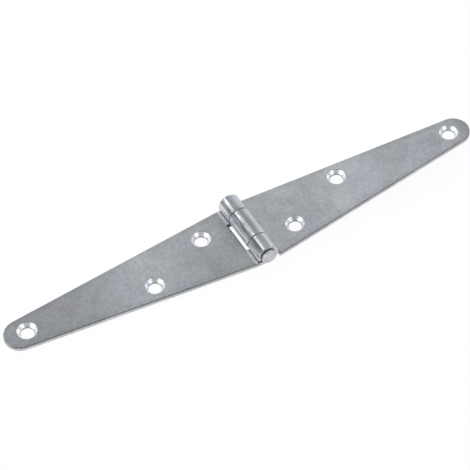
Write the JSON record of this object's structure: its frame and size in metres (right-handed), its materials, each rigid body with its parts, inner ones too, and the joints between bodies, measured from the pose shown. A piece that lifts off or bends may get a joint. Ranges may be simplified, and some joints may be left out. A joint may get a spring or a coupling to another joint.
{
  "type": "strap gate hinge",
  "caption": "Tapered steel strap hinge: leaves with rounded tips and countersunk screw holes, their rolled knuckles on a riveted pin, so that a gate, shed door or lid can swing.",
  "frame": {"origin": "under the middle of the pin, in the plane of the left leaf's back", "axes": "+X from the pin towards the right leaf's tip, Y along the pin, +Z out of the leaves' faces on the barrel side"},
  "size_m": [0.2, 0.032, 0.0093],
  "materials": {
    "plated_sheet": "bright zinc plate on sheet steel, satin, finely mottled",
    "plated_pin": "bright zinc plate on a riveted steel pin"
  },
  "bodies": {
    "fixed_leaf": {"left_leaf": "plated_sheet", "hinge_pin": "plated_pin"},
    "swing_leaf": {"right_leaf": "plated_sheet"}
  },
  "joints": [
    {"name": "leaf_hinge", "type": "hinge", "parent": "fixed_leaf", "child": "swing_leaf", "pos_m": [0, 0, 0.00425], "axis": [0, -1, 0], "range_deg": [-94.2, 175.8]}
  ]
}
